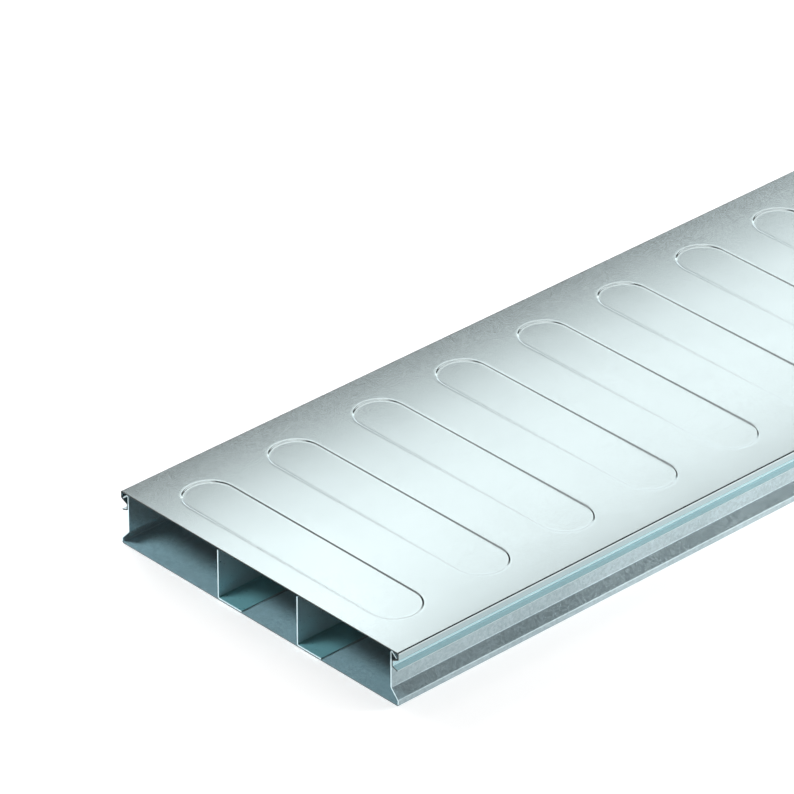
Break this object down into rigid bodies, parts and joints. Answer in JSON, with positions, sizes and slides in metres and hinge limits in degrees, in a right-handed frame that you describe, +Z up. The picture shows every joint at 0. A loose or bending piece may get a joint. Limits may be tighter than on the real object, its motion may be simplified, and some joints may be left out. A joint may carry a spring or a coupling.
{
  "type": "underfloor cable duct",
  "caption": "Closed underfloor cable duct in galvanised sheet steel: a tray with hooked walls, upright partitions for separate cable runs, and a clip-on cover stiffened by pressed beads.",
  "frame": {"origin": "centre of the tray's underside, at half the duct's length and width", "axes": "+X across the duct, +Y along the duct, +Z up through the cover"},
  "size_m": [0.35, 2, 0.053],
  "materials": {
    "tray_steel": "strip-galvanised, satin, fine zinc spangle",
    "cover_steel": "strip-galvanised, satin, fine zinc grain, light handling marks",
    "partition_steel": "strip-galvanised, satin"
  },
  "bodies": {
    "root": {"base_tray": "tray_steel", "cover_plate": "cover_steel", "partition_left": "partition_steel", "partition_right": "partition_steel"}
  },
  "joints": []
}
